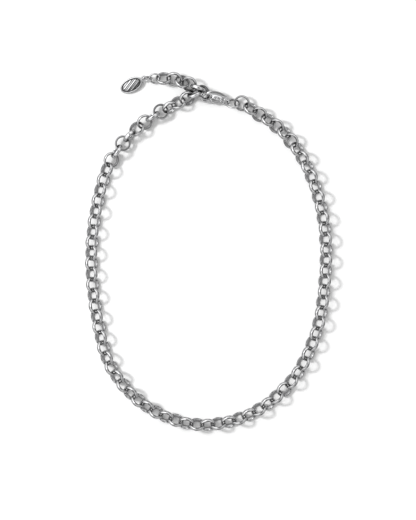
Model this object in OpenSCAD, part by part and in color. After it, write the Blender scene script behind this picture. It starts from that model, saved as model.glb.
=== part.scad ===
// Rolo chain necklace, lying fastened on a flat surface.
// The origin is the middle of the loop on the surface, +Z up, +Y towards the clasp.

/* [Chain links] */
// Inner diameter of a link
link_inner_d = 5.3; // [5:0.05:5.5]
// Thickness of the link's wire, measured outwards
link_t = 0.9; // [0.8:0.05:0.95]
// Width of the link's wire from edge to edge
link_w = 2.0; // [1.4:0.05:2.05]
// Rise of the wire's nearly flat inner face
link_belly = 0.3; // [0.2:0.05:0.35]
// Width of the wire of the link that hangs on the clasp's hook
hook_link_w = 1.4; // [1.1:0.05:1.5]
// Clear space kept where one link pulls on the next
link_gap = 0.2; // [0.16:0.02:0.4]
// Lean of a lying link, up from flat
link_lean = 48; // [42:1:52]

/* [Clasp body] */
// Length of the clasp from the end of the hook to the end of the eye
clasp_l = 13.5; // [13.4:0.1:13.8]
// Diameter of the hook's rod along the back
hook_d = 1.4; // [1.3:0.05:1.45]
// Diameter of the hook's rod at its tip
hook_tip_d = 1.05; // [0.9:0.05:1.1]
// Thickness of the housing that holds the lever
housing_t = 3.0; // [2.8:0.1:3.3]
// Hole in the eye
eye_hole_d = 1.8; // [1.7:0.05:1.9]
// Rod of the eye
eye_wire_d = 0.85; // [0.75:0.05:0.9]

/* [Lever and rivet] */
// Thickness of the lever
lever_t = 0.9; // [0.8:0.05:1]
// Running gap round the lever
lever_gap = 0.12; // [0.1:0.02:0.2]
// Diameter of the rivet
rivet_d = 1.0; // [0.8:0.1:1.1]
// Clearance between the rivet and its holes, on the radius
rivet_gap = 0.04; // [0.02:0.01:0.08]
// Diameter of the rivet's heads
rivet_head_d = 1.6; // [1.3:0.1:1.8]
// Height of the rivet's heads
rivet_head_h = 0.25; // [0.2:0.05:0.35]

/* [Jump rings] */
// Outer diameter of the ring at the clasp's eye
eye_ring_d = 6.7; // [6.6:0.05:6.8]
// Outer diameter of the ring at the end of the extender
end_ring_d = 5.4; // [5.3:0.1:5.6]
// Wire of those two rings
ring_wire_d = 0.8; // [0.7:0.05:0.85]
// Outer diameter of the small ring at the tag
tag_ring_d = 4.0; // [3.9:0.1:4.2]
// Wire of the small ring
tag_ring_wire_d = 0.6; // [0.5:0.05:0.65]

/* [Tag] */
// Length of the oval tag
tag_l = 10.6; // [10.4:0.1:10.8]
// Width of the oval tag
tag_w = 6.4; // [5.8:0.1:7]
// Thickness of the tag at its rim
tag_t = 1.0; // [0.8:0.1:1.2]
// Width of the raised rim
tag_rim = 0.7; // [0.5:0.1:0.9]
// Depth of the sunk field inside the rim
tag_field = 0.2; // [0.1:0.05:0.3]
// Width of the plain bars across the sunk field
tag_bar = 0.6; // [0.4:0.1:0.8]
// Hole of the tag's loop
tag_hole_d = 1.5; // [1.4:0.1:1.6]
// Wire of the tag's loop
tag_loop_wire_d = 0.65; // [0.55:0.05:0.7]

/* [Hidden] */

// Facets of the round shapes
ring_fn = 48;
wire_fn = 24;
hole_fn = 32;

// The link's wire lies between two arcs that meet at its edges
function arc_r(half, rise) = (pow(half, 2) + pow(rise, 2)) / (2 * rise);
link_r = link_inner_d / 2;
belly_r = arc_r(link_w / 2, link_belly);
dome_r = arc_r(link_w / 2, link_t - link_belly);
hook_dome_r = arc_r(hook_link_w / 2, link_t - belly_r + sqrt(pow(belly_r, 2) - pow(hook_link_w / 2, 2)));
dome_x = link_r + link_t - dome_r;

// Longest step from one link to the next, where their inner faces or edges would meet
edge_reach = sqrt(pow(link_r + link_belly, 2) - pow(link_w / 2, 2));
link_step = 2 * min(link_r, edge_reach) - link_gap;

// The loop's route, clockwise from the clasp's eye, with as many links in each span
ROUTE = [
  [15.25, 70.6], [34.3, 57.1], [46.5, 37.5], [52.5, 14], [52.5, -9.5],
  [48.5, -33], [37.5, -54.5], [18.5, -69.5], [-5, -74], [-27.5, -66],
  [-43.5, -48.5], [-50, -25.5], [-52.5, -1.5], [-50.5, 22], [-43.5, 45],
  [-28.5, 62], [-9.5, 72.75],
];

// Leans that differ from the usual ones: link number from the clasp's eye, lean
LEANS = [
  [0, 15], [1, -49], [2, 30], [4, 36], [6, 30], [9, -50], [16, 46], [31, -36],
  [54, 46], [70, 28], [71, -76], [72, 5], [73, 82], [74, -36], [75, 30], [76, -80], [77, -6],
  [78, 58], [79, -40], [80, 40],
];

// Loose links at the clasp and along the extender: x, y, height, heading, climb, lean
LOOSE = [
  [-6.02, 74.71, 3.88, 24, 0, -70],
];
HOOK_LINK = [-2.22, 75.4, 2.64, -62, 0, -42];
EXTENDER = [
  [-4.55, 77.27, 3.61, -22, 0, -91],
  [-8.43, 79.09, 3.46, -32, 2, 31],
  [-11.6, 80.2, 2.9, -25, 0, -42],
  [-15.25, 81.4, 2.9, -11, 0, 38],
  [-19.95, 81.65, 2.85, -2, 4, -42],
];

// Point of a smooth curve through a list of points
function before(p, i) = i > 0 ? p[i - 1] : 2 * p[0] - p[1];
function after(p, i) = i < len(p) ? p[i] : 2 * p[i - 1] - p[i - 2];
function curve_point(p, i, t) =
  let (a = before(p, i), b = p[i], c = p[i + 1], d = after(p, i + 2))
  0.5 * (2 * b + (c - a) * t + (2 * a - 5 * b + 4 * c - d) * pow(t, 2)
    + (3 * b - a - 3 * c + d) * pow(t, 3));
function curve(p, steps) = [
  for (i = [0:len(p) - 2], j = [0:steps - 1]) curve_point(p, i, j / steps),
  p[len(p) - 1],
];
function lengths(p) = [
  for (i = 0, s = 0; i < len(p); i = i + 1, s = s + norm(p[min(i, len(p) - 1)] - p[i - 1])) s,
];

// The route as a fine curve, and the length from its start at every point
route_steps = 16;
fine = curve(ROUTE, route_steps);
along = lengths(fine);
route_x = [for (i = [0:len(fine) - 1]) [along[i], fine[i].x]];
route_y = [for (i = [0:len(fine) - 1]) [along[i], fine[i].y]];
spans = len(ROUTE) - 1;
span_start = [for (i = [0:spans]) [i, along[i * route_steps]]];
longest_span = max([for (i = [0:spans - 1]) span_start[i + 1][1] - span_start[i][1]]);
span_links = ceil(longest_span / link_step);
last_link = spans * span_links;

// Lean of a link, and the height at which it rests or is held up by its steeper neighbour
function usual_lean(k) = (k % 2 == 0 ? 1 : -1) * link_lean;
function lean(k) =
  let (row = [for (r = LEANS) if (r[0] == k) r[1]])
  len(row) > 0 ? row[0] : usual_lean(k);
function resting(k) = dome_x * abs(sin(lean(max(0, min(last_link, k))))) + dome_r;
held_share = 0.75;
function height(k) =
  max(resting(k), held_share * max(resting(k - 1), resting(k + 1)) + (1 - held_share) * resting(k));
function link_place(k) =
  let (s = lookup(k / span_links, span_start)) [lookup(s, route_x), lookup(s, route_y), height(k)];
function heading(v) = atan2(v.y, v.x);
function climb(v) = atan2(v.z, norm([v.x, v.y]));

// A ring round the Z axis from a wire section, turned and placed like a lying link
module placed(place, heading, climb, lean) {
  translate(place) rotate([0, -climb, heading]) rotate([lean, 0, 0]) children();
}

module link(outer_arc = dome_r) {
  rotate_extrude($fn = ring_fn) intersection() {
    translate([link_r + link_t - outer_arc, 0]) circle(r = outer_arc, $fn = wire_fn);
    translate([link_r + belly_r, 0]) circle(r = belly_r, $fn = ring_fn);
  }
}

module round_ring(outer_d, wire_d) {
  rotate_extrude($fn = ring_fn) translate([(outer_d - wire_d) / 2, 0]) circle(d = wire_d, $fn = wire_fn);
}

module loose_links(rows) {
  for (row = rows) placed([row[0], row[1], row[2]], row[3], row[4], row[5]) link();
}

module necklace_chain() {
  color("silver") {
    for (k = [0:last_link]) {
      way = link_place(min(k + 1, last_link)) - link_place(max(k - 1, 0));
      placed(link_place(k), heading(way), climb(way), lean(k)) link();
    }
    loose_links(LOOSE);
  }
}

module extender_chain() {
  color("silver") {
    placed([HOOK_LINK[0], HOOK_LINK[1], HOOK_LINK[2]], HOOK_LINK[3], HOOK_LINK[4], HOOK_LINK[5]) link(hook_dome_r);
    loose_links(EXTENDER);
  }
}

// The clasp lies along X with its eye towards +X and its lever towards +Y
clasp_place = [2.7, 72.1, 2.27];
clasp_turn = -10;
clasp_tilt = 2;
clasp_roll = 17;
module in_clasp() {
  translate(clasp_place) rotate([clasp_roll, clasp_tilt, clasp_turn]) children();
}

// The hook's rod: x, y, share of the way from the thick back to the thin tip, more than 1 at the blunt end
HOOK = [
  [1.8, -0.6, 0], [-0.6, -1.0, 0.05], [-3.0, -1.35, 0.15], [-4.5, -1.3, 0.25],
  [-5.35, -0.65, 0.35], [-5.6, 0.3, 0.5], [-5.2, 1.3, 0.8], [-4.5, 2.05, 1], [-4.25, 2.3, 1.9],
];
hook_steps = 3;
hook_sides = 12;
hook_path = curve(HOOK, hook_steps);

function hook_ring(i) =
  let (
    last = len(hook_path) - 1,
    p = hook_path[i],
    way = hook_path[min(i + 1, last)] - hook_path[max(i - 1, 0)],
    a = heading([way.x, way.y, 0]) + 90,
    r = ((1 - p[2]) * hook_d + p[2] * hook_tip_d) / 2
  )
  [for (j = [0:hook_sides - 1]) let (t = 360 * j / hook_sides)
    [p.x + r * cos(t) * cos(a), p.y + r * cos(t) * sin(a), r * sin(t)]];

module hook_rod() {
  rings = [for (i = [0:len(hook_path) - 1]) hook_ring(i)];
  n = len(rings);
  points = [for (r = rings, p = r) p];
  sides = [for (i = [0:n - 2], j = [0:hook_sides - 1])
    let (a = i * hook_sides + j, b = i * hook_sides + (j + 1) % hook_sides)
    [a, a + hook_sides, b + hook_sides, b]];
  first = [for (j = [0:hook_sides - 1]) j];
  last = [for (j = [hook_sides - 1:-1:0]) (n - 1) * hook_sides + j];
  polyhedron(points, concat([first], sides, [last]), convexity = 4);
}

// The rivet's place on the clasp, and the eye's
rivet_x = 1.6;
rivet_y = 1.15;
eye_r = eye_hole_d / 2 + eye_wire_d / 2;
hook_reach = 6.25;
eye_x = clasp_l - hook_reach - eye_r - eye_wire_d / 2;

// The housing narrows from the rivet to the eye
housing_front_r = 2.25;
housing_front_x = 0.35;
housing_front_y = 0.35;
housing_mid_r = 1.6;
housing_mid_x = 2.4;
housing_mid_y = 0.7;
housing_back_r = 0.85;
housing_back_t = 2;
housing_bevel = 0.6;
module bevelled(r, h) {
  cylinder(r = r, h = h - 2 * housing_bevel, center = true, $fn = ring_fn);
  cylinder(r = r - housing_bevel, h = h, center = true, $fn = ring_fn);
}

module housing() {
  hull() {
    translate([housing_front_x, housing_front_y, 0]) bevelled(housing_front_r, housing_t);
    translate([housing_mid_x, housing_mid_y, 0]) bevelled(housing_mid_r, housing_t);
    translate([eye_x - eye_r - eye_wire_d, 0, 0]) bevelled(housing_back_r, housing_back_t);
  }
}

module clasp_body() {
  color("silver") in_clasp() {
    difference() {
      union() {
        hook_rod();
        housing();
      }
      lever_room();
      translate([rivet_x, rivet_y, 0]) cylinder(r = rivet_d / 2 + rivet_gap, h = 2 * housing_t, center = true, $fn = hole_fn);
    }
    translate([eye_x, 0, 0]) rotate_extrude($fn = ring_fn) translate([eye_r, 0]) circle(d = eye_wire_d, $fn = wire_fn);
  }
}

// Outline of the lever: the gate to the left, the thumb tab to the right
LEVER = [
  [-3.75, 1.85], [-3.0, 2.0], [-1.4, 1.75], [0.1, 1.2], [1.0, 0.45], [1.7, 0.3], [2.4, 0.7],
  [3.1, 1.35], [4.1, 1.6], [5.0, 2.0], [5.9, 2.05], [5.6, 2.5], [4.4, 3.1], [2.8, 3.75],
  [0.9, 4.1], [-1.2, 3.95], [-3.0, 3.35], [-3.75, 2.75],
];
lever_steps = 3;
function closed_curve(p, steps) = [
  for (i = [0:len(p) - 1], j = [0:steps - 1])
    let (n = len(p), t = j / steps, a = p[(i + n - 1) % n], b = p[i], c = p[(i + 1) % n], d = p[(i + 2) % n])
    0.5 * (2 * b + (c - a) * t + (2 * a - 5 * b + 4 * c - d) * pow(t, 2)
      + (3 * b - a - 3 * c + d) * pow(t, 3)),
];

module lever_outline() {
  polygon(closed_curve(LEVER, lever_steps));
}

// The lever's slot is open to the hollow and to the gate's side
slot_floor = 0.1;
slot_front = -2.4;
slot_back = 4.3;
module lever_room() {
  translate([slot_front, slot_floor, -lever_t / 2 - lever_gap])
    cube([slot_back - slot_front, clasp_l, lever_t + 2 * lever_gap]);
}

module clasp_lever() {
  color("gainsboro") in_clasp() difference() {
    linear_extrude(lever_t, center = true) lever_outline();
    translate([rivet_x, rivet_y, 0]) cylinder(r = rivet_d / 2 + rivet_gap, h = 2 * lever_t, center = true, $fn = hole_fn);
  }
}

module clasp_rivet() {
  color("gray") in_clasp() translate([rivet_x, rivet_y, 0]) {
    cylinder(d = rivet_d, h = housing_t + 2 * rivet_gap, center = true, $fn = hole_fn);
    for (side = [-1, 1])
      translate([0, 0, side * (housing_t / 2 + rivet_gap + rivet_head_h / 2)])
        cylinder(d = rivet_head_d, h = rivet_head_h, center = true, $fn = hole_fn);
  }
}

// The jump rings: x, y, height, heading, climb, lean
EYE_RING = [11.2, 70.41, 2.65, 1, -2, -48];
END_RING = [-23.95, 81.72, 2.34, -3, 1, 29];
TAG_RING = [-27.0, 81.64, 1.9, 0, 0, -54];
module ring_at(row, outer_d, wire_d) {
  color("silver") placed([row[0], row[1], row[2]], row[3], row[4], row[5]) round_ring(outer_d, wire_d);
}

module eye_ring() {
  ring_at(EYE_RING, eye_ring_d, ring_wire_d);
}

module end_ring() {
  ring_at(END_RING, end_ring_d, ring_wire_d);
}

module tag_ring() {
  ring_at(TAG_RING, tag_ring_d, tag_ring_wire_d);
}

// The tag rests on its far end and is held up at its loop
tag_place = [-34.5, 78.8];
tag_turn = 27;
tag_tilt = 7;
tag_points = 48;
loop_overlap = 0.3;
loop_r = (tag_hole_d + tag_loop_wire_d) / 2;
loop_x = tag_l / 2 + loop_r + tag_loop_wire_d / 2 - loop_overlap;
bar_turn = 25;
bar_pitch = 1.5;
module oval(l, w) {
  polygon([for (i = [0:tag_points - 1]) let (a = 360 * i / tag_points) [l / 2 * cos(a), w / 2 * sin(a)]]);
}

module field() {
  oval(tag_l - 2 * tag_rim, tag_w - 2 * tag_rim);
}

module bars() {
  rotate(bar_turn) for (side = [-1:1]) translate([0, side * bar_pitch]) square([tag_l, tag_bar], center = true);
}

module tag() {
  color("silver") translate([tag_place.x, tag_place.y, tag_l / 2 * sin(tag_tilt)]) rotate([0, -tag_tilt, tag_turn]) {
    difference() {
      linear_extrude(tag_t) oval(tag_l, tag_w);
      translate([0, 0, tag_t - tag_field]) linear_extrude(tag_t) difference() {
        field();
        bars();
      }
    }
    translate([loop_x, 0, tag_t / 2]) rotate_extrude($fn = ring_fn)
      translate([loop_r, 0]) circle(d = tag_loop_wire_d, $fn = wire_fn);
  }
}

necklace_chain();
extender_chain();
clasp_body();
clasp_lever();
clasp_rivet();
eye_ring();
end_ring();
tag_ring();
tag();
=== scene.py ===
# %% [markdown]
# # A fastened rolo chain necklace
# A rolo chain is a row of round links, each passing through the next. This lesson dresses the packed
# CAD model of one. The link is shaped once and set along the chain by Geometry Nodes, the jump rings
# are swept from wire, the tag is a struck blank, and the clasp's parts are softened copies of the
# CAD's. All of it is polished steel, so much of its look comes from what stands round it.

# %% Load the frame
import math

import bmesh
import bpy
import numpy as np
from mathutils import Matrix, Vector, kdtree


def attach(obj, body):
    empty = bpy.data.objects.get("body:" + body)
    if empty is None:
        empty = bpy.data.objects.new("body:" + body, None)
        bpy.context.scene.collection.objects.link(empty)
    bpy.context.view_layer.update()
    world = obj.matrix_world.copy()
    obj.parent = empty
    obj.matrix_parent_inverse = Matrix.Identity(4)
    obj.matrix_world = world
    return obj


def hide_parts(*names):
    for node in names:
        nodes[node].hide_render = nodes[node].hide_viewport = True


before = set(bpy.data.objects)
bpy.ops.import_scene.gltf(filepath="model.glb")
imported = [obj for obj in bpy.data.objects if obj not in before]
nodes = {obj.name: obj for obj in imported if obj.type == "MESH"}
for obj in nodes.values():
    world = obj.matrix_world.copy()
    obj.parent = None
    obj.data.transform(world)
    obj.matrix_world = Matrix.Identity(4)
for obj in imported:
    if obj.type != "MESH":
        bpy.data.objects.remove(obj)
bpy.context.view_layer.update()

MM = 0.001
scene = bpy.context.scene
print("CAD nodes:", sorted(nodes))

# %% [markdown]
# ## The camera
# The photograph looks straight down, and its frame is 416 by 520 pixels. The links are about 7 mm
# across there, so one pixel is 0.45 mm. A long lens keeps the near and the far side of a link the same
# size, and the camera's distance is worked out for the height of the links' middles.

# %% The camera
PIXEL = 0.45 * MM
PHOTO_H = 520
LENS, SENSOR = 180.0, 36.0
MID_HEIGHT = 2.6 * MM
camera_data = bpy.data.cameras.new("camera")
camera_data.lens = LENS
camera_data.sensor_width = SENSOR
camera = bpy.data.objects.new("camera", camera_data)
scene.collection.objects.link(camera)
camera.location = (0, 0, MID_HEIGHT + PHOTO_H * PIXEL * LENS / SENSOR)
scene.camera = camera
print("camera height in m:", round(camera.location.z, 3))

# %% [markdown]
# ## The sheet
# The necklace lies on a white sheet that the photograph blows out to plain white. If the steel
# mirrored a sheet as bright as that, every underside would glare, where the photograph shows grey. So
# the sheet is white to the camera and grey in what the metal mirrors. A Light Path node tells the two
# apart. A real photographer would do the same with black cards round the piece.

# %% The sheet
FLOOR_SIZE = 5.0
SHEET_SEEN, SHEET_MIRRORED, SHEET_ROUGH = 0.84, 0.38, 0.8


def sheet_material(seen, mirrored):
    """A dull sheet with one grey for the camera and another for what the metal mirrors."""
    material = bpy.data.materials.new("white sheet")
    material.use_nodes = True
    tree = material.node_tree
    shader = tree.nodes["Principled BSDF"]
    shader.inputs["Roughness"].default_value = SHEET_ROUGH
    ray = tree.nodes.new("ShaderNodeLightPath")
    mix = tree.nodes.new("ShaderNodeMix")
    mix.data_type = "RGBA"
    mix.inputs["A"].default_value = (mirrored, mirrored, mirrored, 1)
    mix.inputs["B"].default_value = (seen, seen, seen, 1)
    tree.links.new(ray.outputs["Is Camera Ray"], mix.inputs["Factor"])
    tree.links.new(mix.outputs["Result"], shader.inputs["Base Color"])
    return material


half = FLOOR_SIZE / 2
corners = [(-half, -half, 0), (half, -half, 0), (half, half, 0), (-half, half, 0)]
floor_mesh = bpy.data.meshes.new("floor")
floor_mesh.from_pydata(corners, [], [(0, 1, 2, 3)])
floor_mesh.materials.append(sheet_material(SHEET_SEEN, SHEET_MIRRORED))
floor = bpy.data.objects.new("floor", floor_mesh)
scene.collection.objects.link(floor)
print("sheet in m:", FLOOR_SIZE)

# %% [markdown]
# ## The lamps
# The ring-shaped shadows fall about 4 mm to the right, so the main lamp stands to the upper left, about
# as high as it is far. It is small, which keeps the shadows' edges clear, and it is hidden from the
# mirrors, because a small hot lamp would cover the links with sparks. A wide, weaker lamp nearer to
# overhead softens the shadows, and the metal does show that one, as a broad white.

# %% The lamps
MAIN_PLACE, MAIN_SIZE, MAIN_POWER = (-0.9, 0.25, 0.95), 0.22, 12
WIDE_PLACE, WIDE_SIZE, WIDE_POWER = (-0.6, 0.2, 1.35), 0.7, 3


def area_light(name, place, size, power):
    """A square lamp at a place, turned to the middle of the necklace."""
    data = bpy.data.lights.new(name, "AREA")
    data.size = size
    data.energy = power
    lamp = bpy.data.objects.new(name, data)
    lamp.location = place
    lamp.rotation_euler = (-Vector(place)).to_track_quat("-Z", "Y").to_euler()
    scene.collection.objects.link(lamp)
    return lamp


main_light = area_light("main light", MAIN_PLACE, MAIN_SIZE, MAIN_POWER)
main_light.visible_glossy = False
area_light("overhead light", WIDE_PLACE, WIDE_SIZE, WIDE_POWER)

# %% [markdown]
# ## The surroundings
# Polished steel shows only what stands round it. Real tents for jewellery are white all over, with a
# dark hole for the lens, and so is this one: a ramp over the height of the direction, which is dark
# just above the sheet, bright from low to high, and dark overhead. Each dome then shows light bands
# with dark edges. The upper left is brighter than the lower right, as the lamps are. An image of a real
# studio would also do, but a ramp is easier to set against a photograph. The camera sees plain white.

# %% The surroundings
SKY = [(0.08, 0.08), (0.28, 0.85), (0.72, 1.3), (0.94, 0.28)]
BRIGHT_SIDE, SIDE_REACH = (-0.6, 0.55, 0.0), 0.7
DIM_SHARE, BRIGHT_SHARE = 0.5, 1.35
BACKDROP = (1, 1, 1, 1)
world = bpy.data.worlds.new("studio")
scene.world = world
world.use_nodes = True
sky = world.node_tree
join = sky.links.new
direction = sky.nodes.new("ShaderNodeTexCoord")
split = sky.nodes.new("ShaderNodeSeparateXYZ")
ramp = sky.nodes.new("ShaderNodeValToRGB")
toward = sky.nodes.new("ShaderNodeVectorMath")
toward.operation = "DOT_PRODUCT"
toward.inputs[1].default_value = BRIGHT_SIDE
side = sky.nodes.new("ShaderNodeMapRange")
side.inputs["From Min"].default_value, side.inputs["From Max"].default_value = -SIDE_REACH, SIDE_REACH
side.inputs["To Min"].default_value, side.inputs["To Max"].default_value = DIM_SHARE, BRIGHT_SHARE
shade = sky.nodes.new("ShaderNodeVectorMath")
shade.operation = "SCALE"
join(direction.outputs["Generated"], split.inputs[0])
join(direction.outputs["Generated"], toward.inputs[0])
join(toward.outputs["Value"], side.inputs["Value"])
join(split.outputs["Z"], ramp.inputs["Fac"])
join(ramp.outputs["Color"], shade.inputs[0])
join(side.outputs["Result"], shade.inputs["Scale"])
join(shade.outputs["Vector"], sky.nodes["Background"].inputs["Color"])
backdrop = sky.nodes.new("ShaderNodeBackground")
backdrop.inputs["Color"].default_value = BACKDROP
ray = sky.nodes.new("ShaderNodeLightPath")
choice = sky.nodes.new("ShaderNodeMixShader")
join(ray.outputs["Is Camera Ray"], choice.inputs["Fac"])
join(sky.nodes["Background"].outputs["Background"], choice.inputs[1])
join(backdrop.outputs["Background"], choice.inputs[2])
join(choice.outputs["Shader"], sky.nodes["World Output"].inputs["Surface"])
while len(ramp.color_ramp.elements) < len(SKY):
    ramp.color_ramp.elements.new(0.5)
for element, (height, grey) in zip(ramp.color_ramp.elements, SKY):
    element.position = height
    element.color = (grey, grey, grey, 1)
scene.view_settings.view_transform = "Standard"
print("heights and greys of the surroundings:", SKY)

# %% [markdown]
# ## Polished steel
# New steel jewellery is polished to a mirror, but handling leaves faint marks that spread a highlight.
# The marks are one node group, because every piece has them: soft cloudy patches and fine scratches. The
# group puts out both as masks, and each material turns them into roughness and a slight bump.

# %% The group of handling marks
PATCH_SCALE, PATCH_DETAIL = 500.0, 3
SCRATCH_SCALE, SCRATCH_DETAIL = 3000.0, 2
SCRATCH_TURN, SCRATCH_STRETCH = (0.3, 0.5, 0.7), (1.0, 0.06, 1.0)
SCRATCH_THINNESS = 24.0


def new_group(name, inputs, outputs):
    """An empty shader group with number inputs and outputs."""
    group = bpy.data.node_groups.new(name, "ShaderNodeTree")
    for label, value in inputs:
        socket = group.interface.new_socket(label, in_out="INPUT", socket_type="NodeSocketFloat")
        socket.default_value = value
    for label in outputs:
        group.interface.new_socket(label, in_out="OUTPUT", socket_type="NodeSocketFloat")
    return group, group.nodes.new("NodeGroupInput"), group.nodes.new("NodeGroupOutput")


def math_node(tree, operation, *values):
    """A Math node whose inputs are numbers or sockets."""
    node = tree.nodes.new("ShaderNodeMath")
    node.operation = operation
    for socket, value in zip(node.inputs, values):
        if isinstance(value, (int, float)):
            socket.default_value = value
        else:
            tree.links.new(value, socket)
    return node.outputs[0]


marks, marks_in, marks_out = new_group(
    "handling marks", [("Patch scale", PATCH_SCALE), ("Scratch scale", SCRATCH_SCALE)],
    ["Patches", "Scratches"],
)
spot = marks.nodes.new("ShaderNodeTexCoord")
patches = marks.nodes.new("ShaderNodeTexNoise")
patches.inputs["Detail"].default_value = PATCH_DETAIL
marks.links.new(spot.outputs["Object"], patches.inputs["Vector"])
marks.links.new(marks_in.outputs["Patch scale"], patches.inputs["Scale"])
stretch = marks.nodes.new("ShaderNodeMapping")
stretch.inputs["Rotation"].default_value = SCRATCH_TURN
stretch.inputs["Scale"].default_value = SCRATCH_STRETCH
marks.links.new(spot.outputs["Object"], stretch.inputs["Vector"])
scratches = marks.nodes.new("ShaderNodeTexNoise")
scratches.inputs["Detail"].default_value = SCRATCH_DETAIL
marks.links.new(stretch.outputs["Vector"], scratches.inputs["Vector"])
marks.links.new(marks_in.outputs["Scratch scale"], scratches.inputs["Scale"])
off_line = math_node(marks, "ABSOLUTE", math_node(marks, "SUBTRACT", scratches.outputs["Fac"], 0.5))
line = math_node(marks, "POWER", math_node(marks, "SUBTRACT", 1.0, off_line), SCRATCH_THINNESS)
marks.links.new(patches.outputs["Fac"], marks_out.inputs["Patches"])
marks.links.new(line, marks_out.inputs["Scratches"])
print("group:", marks.name, [s.name for s in marks.interface.items_tree])

# %% [markdown]
# ## Steel with painted shade in its corners
# Shade is painted into the steel's colour where little light reaches: inside the links, along their
# edges, where two links lie close, in the clasp's hollows and at the foot of the tag's relief. It makes the
# dark lines that part one link from the next. Every piece but the rivet stores at each vertex how deep
# this painted shade is, as an attribute, and the material darkens the steel there. An Ambient Occlusion
# node would give the same shade, but it is slow among so many links, and an attribute can be set by rule.

# %% The steel materials
MARKS_FROM, MARKS_TO, SCRATCH_SHARE = 0.3, 1.1, 0.35
BUMP_STRENGTH, BUMP_DEPTH = 0.12, 0.02 * MM
# the share of its colour that the steel keeps under full painted shade
SHADE_SHARE = 0.08


def steel(name, colour, smooth, rough, patch=PATCH_SCALE, shade_strength=0.0):
    """Polished steel, from smooth to rough over the marks, with painted shade: darker, by the given
    strength, where the vertex attribute of shade is high.
    """
    material = bpy.data.materials.new(name)
    material.use_nodes = True
    tree = material.node_tree
    shader = tree.nodes["Principled BSDF"]
    shader.inputs["Metallic"].default_value = 1.0
    group = tree.nodes.new("ShaderNodeGroup")
    group.node_tree = marks
    group.inputs["Patch scale"].default_value = patch
    spread = tree.nodes.new("ShaderNodeMapRange")
    spread.inputs["From Min"].default_value, spread.inputs["From Max"].default_value = MARKS_FROM, MARKS_TO
    spread.inputs["To Min"].default_value, spread.inputs["To Max"].default_value = smooth, rough
    fine = math_node(tree, "MULTIPLY", group.outputs["Scratches"], SCRATCH_SHARE)
    both = math_node(tree, "ADD", group.outputs["Patches"], fine)
    tree.links.new(both, spread.inputs["Value"])
    tree.links.new(spread.outputs["Result"], shader.inputs["Roughness"])
    bump = tree.nodes.new("ShaderNodeBump")
    bump.inputs["Strength"].default_value = BUMP_STRENGTH
    bump.inputs["Distance"].default_value = BUMP_DEPTH
    tree.links.new(both, bump.inputs["Height"])
    tree.links.new(bump.outputs["Normal"], shader.inputs["Normal"])
    shader.inputs["Base Color"].default_value = (*colour, 1)
    # painted shade: the colour darkens towards a small share of itself where the vertex attribute is high
    if shade_strength:
        tone = tree.nodes.new("ShaderNodeMix")
        tone.data_type = "RGBA"
        painted_shade = tree.nodes.new("ShaderNodeAttribute")
        painted_shade.attribute_name = "painted_shade"
        tree.links.new(math_node(tree, "MULTIPLY", painted_shade.outputs["Fac"], shade_strength), tone.inputs["Factor"])
        tone.inputs["A"].default_value = (*colour, 1)
        tone.inputs["B"].default_value = (*[SHADE_SHARE * c for c in colour], 1)
        tree.links.new(tone.outputs["Result"], shader.inputs["Base Color"])
    return material


# the last number of each steel is how strongly painted shade darkens it
link_steel = steel("link steel", (0.76, 0.76, 0.77), 0.04, 0.14, shade_strength=1.0)
ring_steel = steel("ring steel", (0.7, 0.7, 0.71), 0.06, 0.17, shade_strength=0.9)
clasp_steel = steel("clasp steel", (0.75, 0.75, 0.76), 0.05, 0.16, patch=350.0, shade_strength=0.95)
lever_steel = steel("lever steel", (0.75, 0.75, 0.76), 0.05, 0.16, patch=350.0, shade_strength=0.95)
rivet_steel = steel("rivet steel", (0.68, 0.68, 0.69), 0.1, 0.24)
tag_steel = steel("tag steel", (0.66, 0.66, 0.67), 0.1, 0.26, patch=300.0, shade_strength=1.0)
print("materials:", [m.name for m in bpy.data.materials])

# %% [markdown]
# ## One link
# A rolo link is bent from half-round wire: its inner face is nearly flat and its outer face is domed.
# A circle swept along a circle would give plain round wire, so the section is drawn from its two arcs
# and spun round the link's axis. The outer arc is made up to 0.1 mm fuller than the CAD's, because the
# photograph's bands look fuller, and the corners are rounded. Painted shade darkens the colour heavily
# along the edges and lightly on the inner face.

# %% The section of a link's wire
LINK_R = 2.65 * MM
LINK_T = 0.9 * MM
LINK_W = 2.0 * MM
LINK_BELLY = 0.3 * MM
HOOK_LINK_W = 1.4 * MM
EDGE_ROUND = 0.14 * MM
LINK_FULL, LINK_RISE = 0.07 * MM, 0.03 * MM
# painted shade on the inner face, along the dome's edges and at its corners
INNER_SHADE, EDGE_SHADE, CORNER_SHADE = 0.22, 0.9, 1.0
EDGE_FROM = 0.75
DOME_STEPS, BELLY_STEPS, EDGE_STEPS = 12, 4, 3


def arc_r(half_width, rise):
    """Radius of an arc from its half width and its rise."""
    return (half_width**2 + rise**2) / (2 * rise)


BELLY_R = arc_r(LINK_W / 2, LINK_BELLY)
DOME_R = arc_r(LINK_W / 2, LINK_T - LINK_BELLY)
DOME_X = LINK_R + LINK_T - DOME_R


def rounded(start, corner, end):
    """Points between two others that turn softly round a corner."""
    points = []
    for t in np.linspace(0, 1, EDGE_STEPS + 2)[1:-1]:
        a, b, c = (1 - t) ** 2, 2 * t * (1 - t), t**2
        points.append(tuple(a * u + b * v + c * w for u, v, w in zip(start, corner, end)))
    return points


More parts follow.
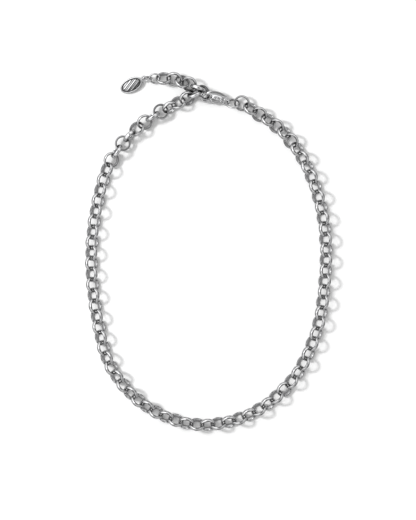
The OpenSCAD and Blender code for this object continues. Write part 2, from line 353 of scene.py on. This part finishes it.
def link_section(width):
    """The section of a link's wire: distance from the axis, height and painted shade."""
    half = width / 2
    belly = BELLY_R - math.sqrt(BELLY_R**2 - half**2)
    dome = arc_r(half, LINK_T - belly)
    dome_reach = math.asin((half - EDGE_ROUND) / dome)
    belly_reach = math.asin((half - EDGE_ROUND) / BELLY_R)
    outer = []
    for a in np.linspace(-dome_reach, dome_reach, DOME_STEPS + 1):
        share = abs(a / dome_reach)
        fuller = LINK_FULL * (1 - (2 * share - 1) ** 2) + LINK_RISE * (1 - share**2)
        reach = dome + fuller
        # painted shade, rising towards the dome's edges
        painted_shade = EDGE_SHADE * max(0, (share - EDGE_FROM) / (1 - EDGE_FROM))
        outer.append((LINK_R + LINK_T - dome + reach * math.cos(a), reach * math.sin(a), painted_shade))
    inner = [(LINK_R + BELLY_R - BELLY_R * math.cos(a), BELLY_R * math.sin(a), INNER_SHADE)
             for a in np.linspace(belly_reach, -belly_reach, BELLY_STEPS + 1)]
    top = (LINK_R + belly, half, CORNER_SHADE)
    bottom = (LINK_R + belly, -half, CORNER_SHADE)
    return outer + rounded(outer[-1], top, inner[0]) + inner + rounded(inner[-1], bottom, outer[0])


print("radii of the link's arcs in mm:", round(BELLY_R / MM, 2), round(DOME_R / MM, 2))

# %% One link
LINK_AROUND = 44


def write_painted_shade(mesh, values):
    """Stores how deep the painted shade is at each vertex, from 0 to 1."""
    mesh.attributes.new("painted_shade", "FLOAT", "POINT").data.foreach_set("value", values)


def spun_ring(name, section, steps, material):
    """A closed ring round the Z axis from the points of its section."""
    n = len(section)
    verts, faces = [], []
    for i in range(steps):
        a = math.tau * i / steps
        verts += [(r * math.cos(a), r * math.sin(a), z) for r, z, _ in section]
        for j in range(n):
            here, beside = i * n + j, i * n + (j + 1) % n
            ahead, across = (i + 1) % steps * n + j, (i + 1) % steps * n + (j + 1) % n
            faces.append((here, ahead, across, beside))
    mesh = bpy.data.meshes.new(name)
    mesh.from_pydata(verts, [], faces)
    write_painted_shade(mesh, [painted_shade for _, _, painted_shade in section] * steps)
    mesh.shade_smooth()
    mesh.materials.append(material)
    ring = bpy.data.objects.new(name, mesh)
    scene.collection.objects.link(ring)
    return ring


one_link = spun_ring("one_link", link_section(LINK_W), LINK_AROUND, link_steel)
hook_link = spun_ring("hook_link", link_section(HOOK_LINK_W), LINK_AROUND, link_steel)
print("a link's faces:", len(one_link.data.polygons))

# %% [markdown]
# ## The places of the links
# The route is drawn through a few points, and the links are spaced evenly between two of them. A link
# that lies on a table can't lie flat, because the next link passes through it, so the links lean to
# the left and to the right in turn. A few lean more or less, as in the photograph. The same numbers
# are in the CAD's source, so each link here lies over its solid there.

# %% The route
ROUTE = [
    (15.25, 70.6), (34.3, 57.1), (46.5, 37.5), (52.5, 14), (52.5, -9.5), (48.5, -33), (37.5, -54.5),
    (18.5, -69.5), (-5, -74), (-27.5, -66), (-43.5, -48.5), (-50, -25.5), (-52.5, -1.5), (-50.5, 22),
    (-43.5, 45), (-28.5, 62), (-9.5, 72.75),
]
ROUTE_STEPS = 16
SPAN_LINKS = 5
last_link = (len(ROUTE) - 1) * SPAN_LINKS


def curve(points, steps):
    """A smooth curve through the points, with that many pieces between two of them."""
    p = np.array(points, float)
    p = np.vstack([2 * p[0] - p[1], p, 2 * p[-1] - p[-2]])
    out = []
    for i in range(1, len(p) - 2):
        a, b, c, d = p[i - 1 : i + 3]
        for t in np.arange(steps) / steps:
            bends = (2 * a - 5 * b + 4 * c - d) * t**2 + (3 * b - a - 3 * c + d) * t**3
            out.append(0.5 * (2 * b + (c - a) * t + bends))
    out.append(p[-2])
    return np.array(out)


fine = curve(ROUTE, ROUTE_STEPS)
along = np.concatenate([[0], np.cumsum(np.linalg.norm(np.diff(fine, axis=0), axis=1))])
print("route in mm:", round(along[-1], 1), "links:", last_link + 1)

# %% The place and turn of each link
LINK_LEAN = 48
LEANS = {
    0: 15, 1: -49, 2: 30, 4: 36, 6: 30, 9: -50, 16: 46, 31: -36, 54: 46, 70: 28, 71: -76, 72: 5,
    73: 82, 74: -36, 75: 30, 76: -80, 77: -6, 78: 58, 79: -40, 80: 40,
}
HELD_SHARE = 0.75


def lean(k):
    """Lean of a link in degrees."""
    return LEANS.get(k, LINK_LEAN if k % 2 == 0 else -LINK_LEAN)


def resting(k):
    """Height in mm of a link's middle when its edge rests on the table."""
    k = max(0, min(last_link, k))
    return (DOME_X * abs(math.sin(math.radians(lean(k)))) + DOME_R) / MM


def link_place(k):
    """Middle of a link in mm. A steeper neighbour holds it up."""
    s = np.interp(k / SPAN_LINKS, range(len(ROUTE)), along[::ROUTE_STEPS])
    held = HELD_SHARE * max(resting(k - 1), resting(k + 1)) + (1 - HELD_SHARE) * resting(k)
    x, y = np.interp(s, along, fine[:, 0]), np.interp(s, along, fine[:, 1])
    return np.array([x, y, max(resting(k), held)])


def turned(heading, climb, lean_angle):
    """Turn of a link as three angles in radians, from its heading, climb and lean in degrees."""
    return (math.radians(lean_angle), -math.radians(climb), math.radians(heading))


chain_rows = []
for k in range(last_link + 1):
    way = link_place(min(k + 1, last_link)) - link_place(max(k - 1, 0))
    heading = math.degrees(math.atan2(way[1], way[0]))
    climb = math.degrees(math.atan2(way[2], math.hypot(way[0], way[1])))
    chain_rows.append((*link_place(k), *turned(heading, climb, lean(k))))
print("heights of the links' middles in mm:", round(min(r[2] for r in chain_rows), 2), "to",
      round(max(r[2] for r in chain_rows), 2))

# %% [markdown]
# ## The loose links
# Beside the clasp one link of the chain lies askew, one link sits on the hook, and a short extender
# hangs on it. They follow no route, so each has a row of its own: place in mm, then heading, climb
# and lean in degrees, read from the photograph and from the room that its neighbours leave.

# %% The loose links
LOOSE = [(-6.02, 74.71, 3.88, 24, 0, -70)]
ON_HOOK = [(-2.22, 75.4, 2.64, -62, 0, -42)]
EXTENDER = [
    (-4.55, 77.27, 3.61, -22, 0, -91), (-8.43, 79.09, 3.46, -32, 2, 31), (-11.6, 80.2, 2.9, -25, 0, -42),
    (-15.25, 81.4, 2.9, -11, 0, 38), (-19.95, 81.65, 2.85, -2, 4, -42),
]


def placed_rows(rows):
    """Rows whose turns are in radians, as the tree wants them."""
    return [(*row[:3], *turned(*row[3:])) for row in rows]


chain_rows += placed_rows(LOOSE)
extender_rows, hook_rows = placed_rows(EXTENDER), placed_rows(ON_HOOK)
print("links in the chain:", len(chain_rows), "in the extender:", len(extender_rows) + len(hook_rows))

# %% [markdown]
# ## The links on their places
# A tree of Geometry Nodes puts the one link on every place. The places are the points of a small mesh,
# and each point carries its turn as an attribute. The copies are instances, so they are realized at
# the end, and the result becomes a plain mesh.

# %% The tree that sets links on places
def link_tree():
    """Geometry Nodes that put a link on every point, turned as the point says."""
    tree = bpy.data.node_groups.new("links on places", "GeometryNodeTree")
    tree.interface.new_socket("Geometry", in_out="INPUT", socket_type="NodeSocketGeometry")
    tree.interface.new_socket("Link", in_out="INPUT", socket_type="NodeSocketObject")
    tree.interface.new_socket("Size", in_out="INPUT", socket_type="NodeSocketFloat").default_value = 1.0
    tree.interface.new_socket("Steel", in_out="INPUT", socket_type="NodeSocketMaterial")
    tree.interface.new_socket("Geometry", in_out="OUTPUT", socket_type="NodeSocketGeometry")
    start, end = tree.nodes.new("NodeGroupInput"), tree.nodes.new("NodeGroupOutput")
    copy = tree.nodes.new("GeometryNodeObjectInfo")
    turn = tree.nodes.new("GeometryNodeInputNamedAttribute")
    turn.data_type = "FLOAT_VECTOR"
    turn.inputs["Name"].default_value = "turn"
    as_rotation = tree.nodes.new("FunctionNodeEulerToRotation")
    setting = tree.nodes.new("GeometryNodeInstanceOnPoints")
    realize = tree.nodes.new("GeometryNodeRealizeInstances")
    finish = tree.nodes.new("GeometryNodeSetMaterial")
    join = tree.links.new
    join(start.outputs["Link"], copy.inputs["Object"])
    join(turn.outputs["Attribute"], as_rotation.inputs["Euler"])
    join(start.outputs["Geometry"], setting.inputs["Points"])
    join(copy.outputs["Geometry"], setting.inputs["Instance"])
    join(as_rotation.outputs["Rotation"], setting.inputs["Rotation"])
    join(start.outputs["Size"], setting.inputs["Scale"])
    join(setting.outputs["Instances"], realize.inputs["Geometry"])
    join(realize.outputs["Geometry"], finish.inputs["Geometry"])
    join(start.outputs["Steel"], finish.inputs["Material"])
    join(finish.outputs["Geometry"], end.inputs["Geometry"])
    return tree


def socket_id(tree, name):
    """Identifier of a tree's input, which is what a modifier is set by."""
    return next(s.identifier for s in tree.interface.items_tree if s.name == name and s.in_out == "INPUT")


LINKS_ON_PLACES = link_tree()
print("inputs:", [s.name for s in LINKS_ON_PLACES.interface.items_tree if s.in_out == "INPUT"])


# %% The chain and the extender
def dressed(piece, body, node):
    """Puts a piece on the body it rides on, and hides the CAD node it stands for."""
    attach(piece, body)
    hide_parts(node)
    return piece


def evaluated_mesh(carrier, name):
    """The mesh that an object's modifiers make. The object itself is removed."""
    mesh = bpy.data.meshes.new_from_object(carrier.evaluated_get(bpy.context.evaluated_depsgraph_get()))
    bpy.data.objects.remove(carrier)
    mesh.name = name
    return mesh


def added(name, mesh):
    """An object at the origin that shows a mesh."""
    piece = bpy.data.objects.new(name, mesh)
    scene.collection.objects.link(piece)
    return piece


def links_piece(name, rows, node, link):
    """A run of links on its places."""
    places = bpy.data.meshes.new(name + "_places")
    places.from_pydata([[x * MM for x in row[:3]] for row in rows], [], [])
    turns = places.attributes.new("turn", "FLOAT_VECTOR", "POINT")
    turns.data.foreach_set("vector", [x for row in rows for x in row[3:]])
    carrier = added(name + "_places", places)
    modifier = carrier.modifiers.new("links", "NODES")
    modifier.node_group = LINKS_ON_PLACES
    modifier[socket_id(LINKS_ON_PLACES, "Link")] = link
    modifier[socket_id(LINKS_ON_PLACES, "Steel")] = link_steel
    return dressed(added(name, evaluated_mesh(carrier, name)), "necklace", node)


chain = links_piece("chain_links", chain_rows, "necklace_chain", one_link)
extender = links_piece("extender_links", extender_rows, "extender_chain", one_link)
held_link = links_piece("link_on_the_hook", hook_rows, "extender_chain", hook_link)
print("faces:", len(chain.data.polygons), len(extender.data.polygons), len(held_link.data.polygons))

# %% [markdown]
# ## Painted shade where the links pass close
# Where one link lies close to another, the two shade each other, so shade is painted there too: a point's
# shade is raised wherever a point of another link is near. It could be painted by hand, but measuring it
# keeps it right when a link moves.

# %% Painted shade between the links
NEAR, FAR = 0.6 * MM, 1.2 * MM


def shade_between_links(pieces, link_verts):
    """Raises the painted shade where two links come close, and gives the share of points that are mostly
    shaded.
    """
    places, painted_shade = [], []
    for piece in pieces:
        count = len(piece.data.vertices)
        place, value = np.empty(count * 3), np.empty(count)
        piece.data.vertices.foreach_get("co", place)
        piece.data.attributes["painted_shade"].data.foreach_get("value", value)
        places += list(place.reshape(-1, link_verts, 3))
        painted_shade += list(value.reshape(-1, link_verts))
    middles = [p.mean(0) for p in places]
    for i in range(len(places)):
        for j in range(i):
            if np.linalg.norm(middles[i] - middles[j]) < 2 * (LINK_R + LINK_T):
                apart = np.linalg.norm(places[i][:, None] - places[j][None], axis=2)
                for k, distance in ((i, apart.min(1)), (j, apart.min(0))):
                    # painted shade, deeper the nearer another link lies
                    painted_shade[k] = np.maximum(painted_shade[k], np.clip((FAR - distance) / (FAR - NEAR), 0, 1))
    done = 0
    for piece in pieces:
        here = len(piece.data.vertices) // link_verts
        piece.data.attributes["painted_shade"].data.foreach_set("value", np.concatenate(painted_shade[done : done + here]))
        done += here
    return round(float(np.mean(np.concatenate(painted_shade) > 0.5)), 3)


shaded_share = shade_between_links([chain, extender, held_link], len(one_link.data.vertices))
bpy.data.objects.remove(one_link)
bpy.data.objects.remove(hook_link)
print("share of dirty points:", shaded_share)

# %% [markdown]
# ## The jump rings
# Jump rings are cut from a coil of round wire and bent shut, so each has a fine slit where its ends
# meet. A curve that isn't quite closed, swept with a small circle and capped, makes the wire and its
# slit in one step.

# %% The tree that makes a jump ring
RING_AROUND, WIRE_AROUND = 72, 20


def ring_tree():
    """Geometry Nodes that make a wire ring with a slit, in the XY plane."""
    tree = bpy.data.node_groups.new("jump ring", "GeometryNodeTree")
    for label in ("Ring radius", "Wire radius", "Slit angle"):
        tree.interface.new_socket(label, in_out="INPUT", socket_type="NodeSocketFloat")
    tree.interface.new_socket("Steel", in_out="INPUT", socket_type="NodeSocketMaterial")
    tree.interface.new_socket("Geometry", in_out="OUTPUT", socket_type="NodeSocketGeometry")
    start, end = tree.nodes.new("NodeGroupInput"), tree.nodes.new("NodeGroupOutput")
    arc = tree.nodes.new("GeometryNodeCurveArc")
    arc.inputs["Resolution"].default_value = RING_AROUND
    wire = tree.nodes.new("GeometryNodeCurvePrimitiveCircle")
    wire.inputs["Resolution"].default_value = WIRE_AROUND
    sweep = tree.nodes.new("GeometryNodeCurveToMesh")
    sweep.inputs["Fill Caps"].default_value = True
    smooth = tree.nodes.new("GeometryNodeSetShadeSmooth")
    realize = tree.nodes.new("GeometryNodeRealizeInstances")
    finish = tree.nodes.new("GeometryNodeSetMaterial")
    join = tree.links.new
    join(start.outputs["Ring radius"], arc.inputs["Radius"])
    join(math_node(tree, "SUBTRACT", math.tau, start.outputs["Slit angle"]), arc.inputs["Sweep Angle"])
    join(start.outputs["Wire radius"], wire.inputs["Radius"])
    join(arc.outputs["Curve"], sweep.inputs["Curve"])
    join(wire.outputs["Curve"], sweep.inputs["Profile Curve"])
    join(sweep.outputs["Mesh"], smooth.inputs["Geometry"])
    join(smooth.outputs["Geometry"], realize.inputs["Geometry"])
    join(realize.outputs["Geometry"], finish.inputs["Geometry"])
    join(start.outputs["Steel"], finish.inputs["Material"])
    join(finish.outputs["Geometry"], end.inputs["Geometry"])
    return tree


JUMP_RING = ring_tree()
print("inputs:", [s.name for s in JUMP_RING.interface.items_tree if s.in_out == "INPUT"])

# %% [markdown]
# ## Three jump rings
# One joins the clasp's eye to the chain, one ends the extender, and a small one holds the tag. Each
# row gives place in mm, heading, climb and lean in degrees, then outer and wire diameter in mm, the
# CAD node and how far round the slit is turned, in degrees. Shade is painted on the inner side of the wire.

# %% The jump rings
SLIT = 0.03 * MM
RINGS = {
    "clasp_ring": ((11.2, 70.41, 2.65, 1, -2, -48), 6.7, 0.8, "eye_ring", 130),
    "extender_ring": ((-23.95, 81.72, 2.34, -3, 1, 29), 5.4, 0.8, "end_ring", 250),
    "small_tag_ring": ((-27.0, 81.64, 1.9, 0, 0, -54), 4.0, 0.6, "tag_ring", 60),
}


def points_and_normals(mesh):
    """A mesh's vertices and their normals as two arrays."""
    place, normal = np.empty(len(mesh.vertices) * 3), np.empty(len(mesh.vertices) * 3)
    mesh.vertices.foreach_get("co", place)
    mesh.vertices.foreach_get("normal", normal)
    return place.reshape(-1, 3), normal.reshape(-1, 3)


def jump_ring(name, row, outer_d, wire_d, node, slit_at):
    """A jump ring in its place."""
    carrier = added(name, bpy.data.meshes.new(name))
    radius, wire_r = (outer_d - wire_d) / 2 * MM, wire_d / 2 * MM
    modifier = carrier.modifiers.new("ring", "NODES")
    modifier.node_group = JUMP_RING
    modifier[socket_id(JUMP_RING, "Ring radius")] = radius
    modifier[socket_id(JUMP_RING, "Wire radius")] = wire_r
    modifier[socket_id(JUMP_RING, "Slit angle")] = SLIT / radius
    modifier[socket_id(JUMP_RING, "Steel")] = ring_steel
    piece = dressed(added(name, evaluated_mesh(carrier, name)), "necklace", node)
    place, _ = points_and_normals(piece.data)
    # painted shade on the inner side of the wire, deepest at its hole
    write_painted_shade(piece.data, np.clip((radius - np.hypot(place[:, 0], place[:, 1])) / wire_r, 0, 1))
    turn = Matrix.Rotation(math.radians(slit_at), 4, "Z")
    for angle, axis in zip(turned(*row[3:]), "XYZ"):
        turn = Matrix.Rotation(angle, 4, axis) @ turn
    piece.data.transform(Matrix.Translation(Vector(row[:3]) * MM) @ turn)
    return piece


for name, row in RINGS.items():
    jump_ring(name, *row)
print("jump rings:", list(RINGS))

# %% [markdown]
# ## The tag's relief
# The tag is a struck oval blank: a rounded rim round a sunk field that swells a little in its middle,
# with three plain bars across it. The relief is a rule that gives the height of the face at any point,
# and a soft step makes every wall, as striking does. Carving it out of a solid would need a cutter for
# each wall. Shade is painted along the foot of the rim and of the bars.

# %% The tag's relief
TAG_L, TAG_W, TAG_T = 10.6 * MM, 6.4 * MM, 1.0 * MM
TAG_RIM = 0.7 * MM
FIELD_DEPTH, CROWN_RISE, BAR_RISE = 0.32 * MM, 0.2 * MM, 0.12 * MM
BAR_W, BAR_PITCH, BAR_TURN, SIDE_BARS = 0.6 * MM, 1.5 * MM, 25, 1
BAR_WALL, RIM_WALL = 0.16 * MM, 0.3 * MM
RIM_FOOT, RIM_FOOT_REACH = 0.15 * MM, 0.4 * MM
BAR_FOOT, BAR_FOOT_REACH = 0.16 * MM, 0.3 * MM
FIELD_A, FIELD_B = TAG_L / 2 - TAG_RIM, TAG_W / 2 - TAG_RIM


def soft_step(value, width):
    """0 below, 1 above, with a smooth change as wide as the wall."""
    t = min(1.0, max(0.0, value / width + 0.5))
    return t * t * (3 - 2 * t)


def near(value, middle, reach):
    """1 at the middle, falling to 0 at the reach."""
    return max(0.0, 1 - ((value - middle) / reach) ** 2)


def relief_at(x, y):
    """How far a point lies inside the rim, and how far from the nearest bar's edge."""
    rho = math.hypot(x / FIELD_A, y / FIELD_B)
    inside = (1 - rho) * min(FIELD_A, FIELD_B)
    turn = math.radians(BAR_TURN)
    across = -x * math.sin(turn) + y * math.cos(turn)
    nearest_bar = BAR_PITCH * max(-SIDE_BARS, min(SIDE_BARS, round(across / BAR_PITCH)))
    return inside, abs(across - nearest_bar) - BAR_W / 2


def tag_painted_shade(x, y):
    """Painted shade: dark lines along the foot of the rim and of the bars."""
    inside, off_bar = relief_at(x, y)
    at_bar = near(off_bar, BAR_FOOT, BAR_FOOT_REACH) * soft_step(inside, RIM_WALL)
    return max(near(inside, RIM_FOOT, RIM_FOOT_REACH), at_bar)


def top_height(x, y):
    """Height of the tag's face: a crowned field inside the rim, with the bars on it."""
    inside, off_bar = relief_at(x, y)
    crown = max(0.0, 1 - (x / FIELD_A) ** 2 - (y / FIELD_B) ** 2)
    bar = 1 - soft_step(off_bar, BAR_WALL)
    return TAG_T - soft_step(inside, RIM_WALL) * (FIELD_DEPTH - CROWN_RISE * crown - BAR_RISE * bar)


print("the field's middle in mm:", round(top_height(0, BAR_PITCH / 2) / MM, 2), "of", TAG_T / MM)

# %% [markdown]
# ## The tag
# The tag is made of rings of points from the middle of its face over its edge to the middle of its
# back. The rings follow the rim, so its wall stays smooth, where a square grid would leave steps.

# %% Rings of points
EDGE = 0.38 * MM
TAG_AROUND, TAG_RINGS, EDGE_RINGS, BACK_RINGS = 160, 52, 8, 8


def oval_ring(inset, z):
    """A ring of points at a distance inside the tag's outline."""
    turns = [math.tau * i / TAG_AROUND for i in range(TAG_AROUND)]
    return [((TAG_L / 2 - inset) * math.cos(a), (TAG_W / 2 - inset) * math.sin(a), z) for a in turns]


def shrunk_ring(share, base, relief):
    """A ring of points at a share of the base ring, with its height from the relief."""
    return [(x * share, y * share, relief(x * share, y * share)) for x, y, _ in base]


def closed_rings(rings, top, bottom):
    """Vertices and faces of a closed shell from rings of points and its two poles."""
    n = len(rings[0])
    verts = [p for ring in rings for p in ring] + [top, bottom]
    faces = [(i * n + j, (i + 1) * n + j, (i + 1) * n + (j + 1) % n, i * n + (j + 1) % n)
             for i in range(len(rings) - 1) for j in range(n)]
    last = (len(rings) - 1) * n
    faces += [(j, (j + 1) % n, len(verts) - 2) for j in range(n)]
    faces += [(last + (j + 1) % n, last + j, len(verts) - 1) for j in range(n)]
    return verts, faces


rim_base, back_base = oval_ring(EDGE, TAG_T), oval_ring(EDGE, 0.0)
rings = [shrunk_ring((i + 1) / TAG_RINGS, rim_base, top_height) for i in range(TAG_RINGS)]
for i in range(1, EDGE_RINGS + 1):
    a = math.pi / 2 * i / EDGE_RINGS
    rings.append(oval_ring(EDGE * (1 - math.sin(a)), TAG_T - EDGE * (1 - math.cos(a))))
for i in range(EDGE_RINGS + 1):
    a = math.pi / 2 * i / EDGE_RINGS
    rings.append(oval_ring(EDGE * (1 - math.cos(a)), EDGE * (1 - math.sin(a))))
rings += [shrunk_ring(1 - i / BACK_RINGS, back_base, lambda x, y: 0.0) for i in range(1, BACK_RINGS)]
tag_verts, tag_faces = closed_rings(rings, (0, 0, top_height(0, 0)), (0, 0, 0))
print("rings:", len(rings), "faces:", len(tag_faces))


# %% The tag
def made_piece(name, verts, faces, material, painted_shade=None):
    """A smooth piece from its points and faces."""
    mesh = bpy.data.meshes.new(name)
    mesh.from_pydata([tuple(v) for v in verts], [], faces)
    mesh.update()
    if painted_shade:
        write_painted_shade(mesh, painted_shade)
    mesh.shade_smooth()
    mesh.materials.append(material)
    return added(name, mesh)


def is_face(v):
    """Whether a point is on the tag's struck face."""
    return v[2] > TAG_T - 1.5 * FIELD_DEPTH and math.hypot(v[0] / TAG_L, v[1] / TAG_W) < 0.5


# painted shade on the struck face only
painted_shade_of_tag = [tag_painted_shade(v[0], v[1]) if is_face(v) else 0.0 for v in tag_verts]
tag = made_piece("oval_tag", tag_verts, tag_faces, tag_steel, painted_shade_of_tag)
dressed(tag, "necklace", "tag")
print("tag's vertices:", len(tag.data.vertices))

# %% [markdown]
# ## The tag's loop
# A wire loop is soldered to the tag's end, and the small jump ring passes through it. Soldered metal is
# one piece, so the loop is sunk into the tag's edge. The loop holds that end up a little, and the tag
# lies tilted on the sheet.

# %% The tag's loop
LOOP_HOLE, LOOP_WIRE, LOOP_SUNK = 1.5 * MM, 0.65 * MM, 0.3 * MM
LOOP_AROUND = 56
TAG_PLACE, TAG_TURN, TAG_TILT = (-34.5 * MM, 78.8 * MM), math.radians(27), math.radians(7)


def wire_section(ring_r, wire_r, sides):
    """Round wire as points of distance from the ring's axis, height and painted shade on its inner side."""
    turns = [math.tau * i / sides for i in range(sides)]
    return [(ring_r + wire_r * math.cos(a), wire_r * math.sin(a), max(0.0, -math.cos(a))) for a in turns]


loop_r = (LOOP_HOLE + LOOP_WIRE) / 2
loop = spun_ring("tag_loop", wire_section(loop_r, LOOP_WIRE / 2, WIRE_AROUND), LOOP_AROUND, tag_steel)
loop.data.transform(Matrix.Translation((TAG_L / 2 + loop_r + LOOP_WIRE / 2 - LOOP_SUNK, 0, TAG_T / 2)))
dressed(loop, "necklace", "tag")
lying = (Matrix.Translation((*TAG_PLACE, TAG_L / 2 * math.sin(TAG_TILT)))
         @ Matrix.Rotation(TAG_TURN, 4, "Z") @ Matrix.Rotation(-TAG_TILT, 4, "Y"))
for piece in (tag, loop):
    piece.data.transform(lying)
print("loop radius in mm:", round(loop_r / MM, 2))

# %% [markdown]
# ## The clasp's cast parts
# The clasp's body and its lever are cast in a mould and tumbled with small stones, which rounds every
# edge and corner. The CAD nodes have the true shapes with plain edges. A copy is merged into one
# closed skin, remeshed into small even squares and smoothed a few times, as tumbling does. A bevel
# would round the edges too, but it fails where many small faces of a casting meet.

# %% The clasp's place
CLASP_PLACE = Vector((2.7, 72.1, 2.27)) * MM
CLASP_ROLL, CLASP_TILT, CLASP_TURN = math.radians(17), math.radians(2), math.radians(-10)
in_clasp = (Matrix.Translation(CLASP_PLACE) @ Matrix.Rotation(CLASP_TURN, 4, "Z")
            @ Matrix.Rotation(CLASP_TILT, 4, "Y") @ Matrix.Rotation(CLASP_ROLL, 4, "X"))
print("the clasp's place in mm:", [round(x / MM, 2) for x in in_clasp.translation])

# %% [markdown]
# ## Crowned faces
# A casting's broad faces are never quite flat: they swell from their outline to their middle. On
# polished steel that swell is what makes a highlight run along the face. So the copy is thinned
# towards its outline, by rule. The core, half as thick as the lever's slot, keeps its height, so
# that the slot stays as wide as the CAD's.

# %% Crowned faces
OUTLINE_FACING = 0.35
CROWN_PASSES = 12


def averaged(mesh, values, passes):
    """Values at a mesh's vertices, averaged with their neighbours' a few times over."""
    pairs = np.empty(len(mesh.edges) * 2, int)
    mesh.edges.foreach_get("vertices", pairs)
    a, b = pairs.reshape(-1, 2).T
    for _ in range(passes):
        total, share = values.copy(), np.ones(len(values))
        np.add.at(total, a, values[b])
        np.add.at(total, b, values[a])
        np.add.at(share, a, 1)
        np.add.at(share, b, 1)
        values = total / share
    return values


def crown(mesh, reach, share, until, core):
    """Thins a casting towards its outline, by a share that falls to 0 at the reach, as far as a place
    along the clasp. What lies within the core keeps its height."""
    place, normal = points_and_normals(mesh)
    turn, shift = np.array(in_clasp.to_3x3()), np.array(in_clasp.translation)
    own, facing = (place - shift) @ turn, np.abs((normal @ turn)[:, 2])
    outline = np.flatnonzero(facing < OUTLINE_FACING)
    tree = kdtree.KDTree(len(outline))
    for i in outline:
        tree.insert((own[i, 0], own[i, 1], 0), int(i))
    tree.balance()
    away = np.array([tree.find((x, y, 0))[2] for x, y, _ in own])
    thin = share * (1 - np.clip(away / reach, 0, 1)) ** 2 * np.clip((until - own[:, 0]) / reach, 0, 1)
    over = np.maximum(np.abs(own[:, 2]) - core, 0)
    own[:, 2] -= np.sign(own[:, 2]) * over * averaged(mesh, thin, CROWN_PASSES)
    mesh.vertices.foreach_set("co", (own @ turn.T + shift).ravel())
    mesh.update()


print("passes that smooth the crown:", CROWN_PASSES)

# %% [markdown]
# ## Painted shade in the hollows
# In a hollow the surface bends towards its own normal, so the neighbours of a point lie above it. Their
# average rise is how deep the hollow is, and that is where shade is painted into the colour.

# %% Painted shade in the hollows
HOLLOW_PASSES, HOLLOW_GAIN = 6, 4.5
TINY = 1e-12


def hollow_shade(mesh):
    """Writes the painted shade of a casting, from how deep in a hollow each point lies, and gives its mean.
    """
    place, normal = points_and_normals(mesh)
    pairs = np.empty(len(mesh.edges) * 2, int)
    mesh.edges.foreach_get("vertices", pairs)
    a, b = pairs.reshape(-1, 2).T
    way = place[b] - place[a]
    length = np.linalg.norm(way, axis=1) + TINY
    bend = np.zeros(len(place))
    np.add.at(bend, a, (way * normal[a]).sum(1) / length)
    np.add.at(bend, b, -(way * normal[b]).sum(1) / length)
    # painted shade from the depth of the hollow
    depth = np.clip(averaged(mesh, bend, HOLLOW_PASSES) * HOLLOW_GAIN, 0, 1)
    write_painted_shade(mesh, depth)
    return round(float(depth.mean()), 3)


print("passes that smooth the hollows:", HOLLOW_PASSES)

# %% [markdown]
# ## The clasp's body and lever
# Both go through the same steps, the lever with smaller squares because it is thinner. The lever rides
# on its own body, so it turns about its rivet while all the rest stays.

# %% The clasp's body and lever
MERGE = 0.001 * MM
TUMBLING, TUMBLING_PASSES = 0.5, 3
BODY_SQUARE, LEVER_SQUARE = 0.07 * MM, 0.05 * MM
BODY_SWELL = {"reach": 1.3 * MM, "share": 0.55, "until": 4.0 * MM, "core": 0.6 * MM}
LEVER_SWELL = {"reach": 0.9 * MM, "share": 0.55, "until": 10 * MM, "core": 0.0}


def tumbled(name, node, square, swell, material, body):
    """A softened copy of a CAD node. square is the size of its new faces, swell the values of its crown."""
    mesh = nodes[node].data.copy()
    mesh.materials.clear()
    skin = bmesh.new()
    skin.from_mesh(mesh)
    bmesh.ops.remove_doubles(skin, verts=skin.verts, dist=MERGE)
    skin.to_mesh(mesh)
    skin.free()
    carrier = added(name, mesh)
    squares = carrier.modifiers.new("squares", "REMESH")
    squares.mode = "VOXEL"
    squares.voxel_size = square
    smooth = carrier.modifiers.new("tumbling", "SMOOTH")
    smooth.factor = TUMBLING
    smooth.iterations = TUMBLING_PASSES
    result = evaluated_mesh(carrier, name)
    result.shade_smooth()
    result.materials.clear()
    result.materials.append(material)
    crown(result, **swell)
    mean_shade = hollow_shade(result)
    print(name, "faces:", len(result.polygons), "mean dirt:", mean_shade)
    return dressed(added(name, result), body, node)


tumbled("lobster_clasp_body", "clasp_body", BODY_SQUARE, BODY_SWELL, clasp_steel, "necklace")
tumbled("lobster_clasp_lever", "clasp_lever", LEVER_SQUARE, LEVER_SWELL, lever_steel, "lever")

# %% [markdown]
# ## The rivet
# The lever turns on a rivet. Its two heads are pressed into low domes when it is set. It is turned
# like a part on a lathe: one outline, spun round the rivet's axis.

# %% The rivet
RIVET_R, HEAD_R, HEAD_H = 0.5 * MM, 0.8 * MM, 0.25 * MM
HOUSING_T, HEAD_GAP = 3.0 * MM, 0.04 * MM
HEAD_BASE = HOUSING_T / 2 + HEAD_GAP
UNDERCUT, UNDERCUT_SHARE = 0.02 * MM, 0.93
RIVET_AT = Vector((1.6, 1.15, 0)) * MM
HEAD_STEPS, RIVET_AROUND = 8, 40


def turned_rings(outline, around):
    """Rings of points that spin an outline of radius and height round the Z axis."""
    turns = [math.tau * i / around for i in range(around)]
    return [[(r * math.cos(a), r * math.sin(a), z) for a in turns] for r, z in outline]


head_turns = [math.pi / 2 * i / HEAD_STEPS for i in range(1, HEAD_STEPS + 1)]
half_outline = [(HEAD_R * math.sin(a), HEAD_BASE + HEAD_H * math.cos(a)) for a in head_turns]
half_outline += [(UNDERCUT_SHARE * HEAD_R, HEAD_BASE - UNDERCUT), (RIVET_R, HEAD_BASE - UNDERCUT)]
outline = half_outline + [(r, -z) for r, z in reversed(half_outline)]
head_top = HEAD_BASE + HEAD_H
rivet_rings = turned_rings(outline, RIVET_AROUND)
rivet_verts, rivet_faces = closed_rings(rivet_rings, (0, 0, head_top), (0, 0, -head_top))
rivet = made_piece("rivet", rivet_verts, rivet_faces, rivet_steel)
dressed(rivet, "necklace", "clasp_rivet")
rivet.data.transform(in_clasp @ Matrix.Translation(RIVET_AT))
print("rivet faces:", len(rivet_faces))
